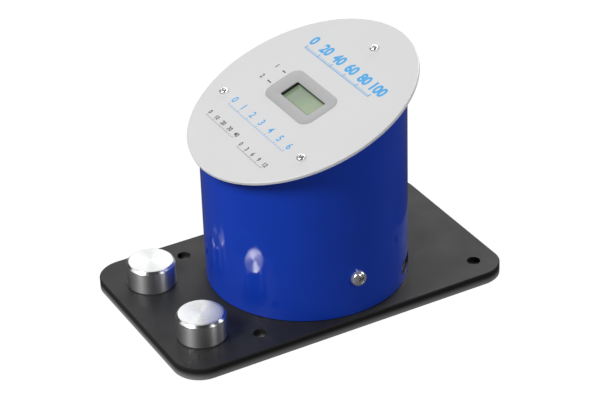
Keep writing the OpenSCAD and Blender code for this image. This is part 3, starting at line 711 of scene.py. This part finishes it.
# Black sheet over the window's walls, painted shade inside the window, set a little below the top
# of the bezel
lining_drop = 0.30 * MM
shade_sheet = flat_frame(rounded_outline(13.02 * MM, 33.02 * MM, 0.8 * MM, window_middle),
                    rounded_outline(12.76 * MM, 32.76 * MM, 0.7 * MM, window_middle))
thicken(shade_sheet, depth=1.8 * MM, edge=0.03 * MM)
settle(shade_sheet, "window_shade_sheet", head, moulded,
       face_frame @ Matrix.Translation((0, 0, -lining_drop)), smooth=30)


# Plain marks printed on the face; x runs from left to right and y upwards as they are read
reading = face_frame @ Matrix.Rotation(-math.pi / 2, 4, "Z")
ink_low, ink_high = -0.005 * MM, 0.03 * MM
figure_share = 0.7  # a figure's height as a share of the text size


def printed_number(words, x, y, height, weight):
    """Raised figures, centred on x and standing on y; weight fattens their strokes."""
    clear_choice()
    middle = (ink_low + ink_high) / 2
    bpy.ops.object.text_add(location=(x * MM, y * MM, middle))
    number = bpy.context.object
    number.data.body = words
    number.data.size = height * MM / figure_share
    number.data.align_x = "CENTER"
    number.data.offset = weight * MM
    number.data.extrude = ink_high - middle
    number.data.resolution_u = 5
    bpy.ops.object.convert(target="MESH")
    number = bpy.context.object
    bpy.ops.object.transform_apply(location=True)
    return number


def printed_bar(x, y, across, tall):
    """A flat stroke of ink with its corners just rounded off."""
    clear_choice()
    bpy.ops.mesh.primitive_plane_add(size=1, location=(0, 0, ink_low))
    bar = bpy.context.object
    bar.scale = (across * MM, tall * MM, 1)
    bpy.ops.object.transform_apply(location=True, scale=True)
    bpy.ops.object.mode_set(mode="EDIT")
    bpy.ops.mesh.select_all(action="SELECT")
    bpy.ops.mesh.bevel(offset=min(across, tall) * 0.12 * MM, segments=2, affect="VERTICES")
    bpy.ops.mesh.select_all(action="SELECT")
    bpy.ops.mesh.extrude_region_move(TRANSFORM_OT_translate={"value": (0, 0, ink_high - ink_low)})
    bpy.ops.mesh.select_all(action="SELECT")
    bpy.ops.mesh.normals_make_consistent(inside=False)
    bpy.ops.object.mode_set(mode="OBJECT")
    bar.data.transform(Matrix.Translation((x * MM, y * MM, 0)))
    return bar


def row_of_bars(start, end, count, y, across, tall):
    """One bar, copied evenly between two places."""
    first = printed_bar(start, y, across, tall)
    bars = [first]
    for step in range(1, count):
        bar = copy_of(first)
        bar.data.transform(Matrix.Translation(((end - start) * step / (count - 1) * MM, 0, 0)))
        bars.append(bar)
    return bars


def plain_scale(name, numbers, start, end, base, height, tick, parts, weight, ink):
    """Numbers in a row over a line of long and short ticks; all sizes are in millimetres."""
    stroke = tick * 0.14
    marks = []
    gaps = len(numbers) - 1
    for place, words in enumerate(numbers):
        x = start + (end - start) * place / gaps
        marks.append(printed_number(words, x, base, height, weight))
    foot = base - 0.25 * height - tick
    marks += row_of_bars(start, end, gaps + 1, foot + tick / 2, tick * 0.28, tick)
    marks += row_of_bars(start, end, gaps * parts + 1, foot + tick * 0.3, stroke, tick * 0.6)
    marks.append(printed_bar((start + end) / 2, foot, end - start + tick * 0.28, stroke))
    settle(joined(marks), name, head, ink, reading, smooth=20)


plain_scale("upper_scale", ("0", "20", "40", "60", "80", "100"), start=-40, end=34, base=31.0,
            height=6.8, tick=2.6, parts=10, weight=0.42, ink=print_blue)
plain_scale("lower_scale", ("0", "1", "2", "3", "4", "5", "6"), start=-35, end=32, base=-30.4,
            height=4.9, tick=1.5, parts=5, weight=0.10, ink=print_blue)
plain_scale("small_scale", ("0", "10", "20", "30", "40"), start=-38.5, end=-5.5, base=-45.4,
            height=2.9, tick=1.0, parts=5, weight=0.09, ink=print_black)
plain_scale("fine_scale", ("0", "3", "6", "9", "12"), start=4.5, end=33.5, base=-47.8,
            height=2.9, tick=1.0, parts=6, weight=0.09, ink=print_black)

# Two dashes beside the window, each with its number
row_marks = [printed_bar(-31.2, 5.9, 3.4, 0.8), printed_bar(-31.4, -5.0, 4.2, 0.8),
             printed_number("1", -40, 4.5, 3.3, 0.1), printed_number("2", -40, -6.5, 3.3, 0.1)]
settle(joined(row_marks), "row_marks", head, print_black, reading, smooth=20)


# Socket for the lead: a tongue in the shell's slot, with flat contacts above and below
port_height, port_turn = 16.8 * MM, math.radians(-42)
port = Matrix.Translation((tube_x, 0, port_height)) @ Matrix.Rotation(port_turn, 4, "Z")
slot_floor, shell_front = 55.2 * MM, 61.0 * MM


def shape_tongue():
    clear_choice()
    length = shell_front - 0.9 * MM - slot_floor
    bpy.ops.mesh.primitive_cube_add(size=1, location=(slot_floor + length / 2, 0, 0))
    tongue = bpy.context.object
    tongue.scale = (length, 7.6 * MM, 1.1 * MM)
    bpy.ops.object.transform_apply(location=True, scale=True)
    pick(tongue, lambda middle, way: way.x > 0.9)
    bpy.ops.mesh.extrude_region_move(TRANSFORM_OT_translate={"value": (0.3 * MM, 0, 0)})
    bpy.ops.transform.resize(value=(1, 0.94, 0.6), center_override=(0, 0, 0))
    bpy.ops.object.mode_set(mode="OBJECT")
    return tongue


def shape_contact():
    """A flat spring strip whose tip bends down over the tongue's end."""
    clear_choice()
    length = shell_front - 1.5 * MM - slot_floor
    bpy.ops.mesh.primitive_cube_add(size=1, location=(slot_floor + length / 2, 0, 0.60 * MM))
    contact = bpy.context.object
    contact.scale = (length, 0.55 * MM, 0.14 * MM)
    bpy.ops.object.transform_apply(location=True, scale=True)
    pick(contact, lambda middle, way: way.x > 0.9)
    bpy.ops.mesh.extrude_region_move(TRANSFORM_OT_translate={"value": (0.35 * MM, 0, -0.1 * MM)})
    bpy.ops.object.mode_set(mode="OBJECT")
    return contact


settle(shape_tongue(), "socket_tongue", head, moulded, port)
contact_count, contact_pitch = 5, 1.4 * MM
contact_span = (contact_count - 1) * contact_pitch
contacts = [shape_contact()]
for below in (False, True):
    for step in range(contact_count):
        if below or step:
            one = copy_of(contacts[0])
            one.data.transform(Matrix.Translation((0, step * contact_pitch, 0)))
            if below:
                one.data.transform(Matrix.Rotation(math.pi, 4, "X"))
                one.data.transform(Matrix.Translation((0, contact_span, 0)))
            contacts.append(one)
settle(joined(contacts), "socket_contacts", head, brass,
       port @ Matrix.Translation((0, -contact_span / 2, 0)))
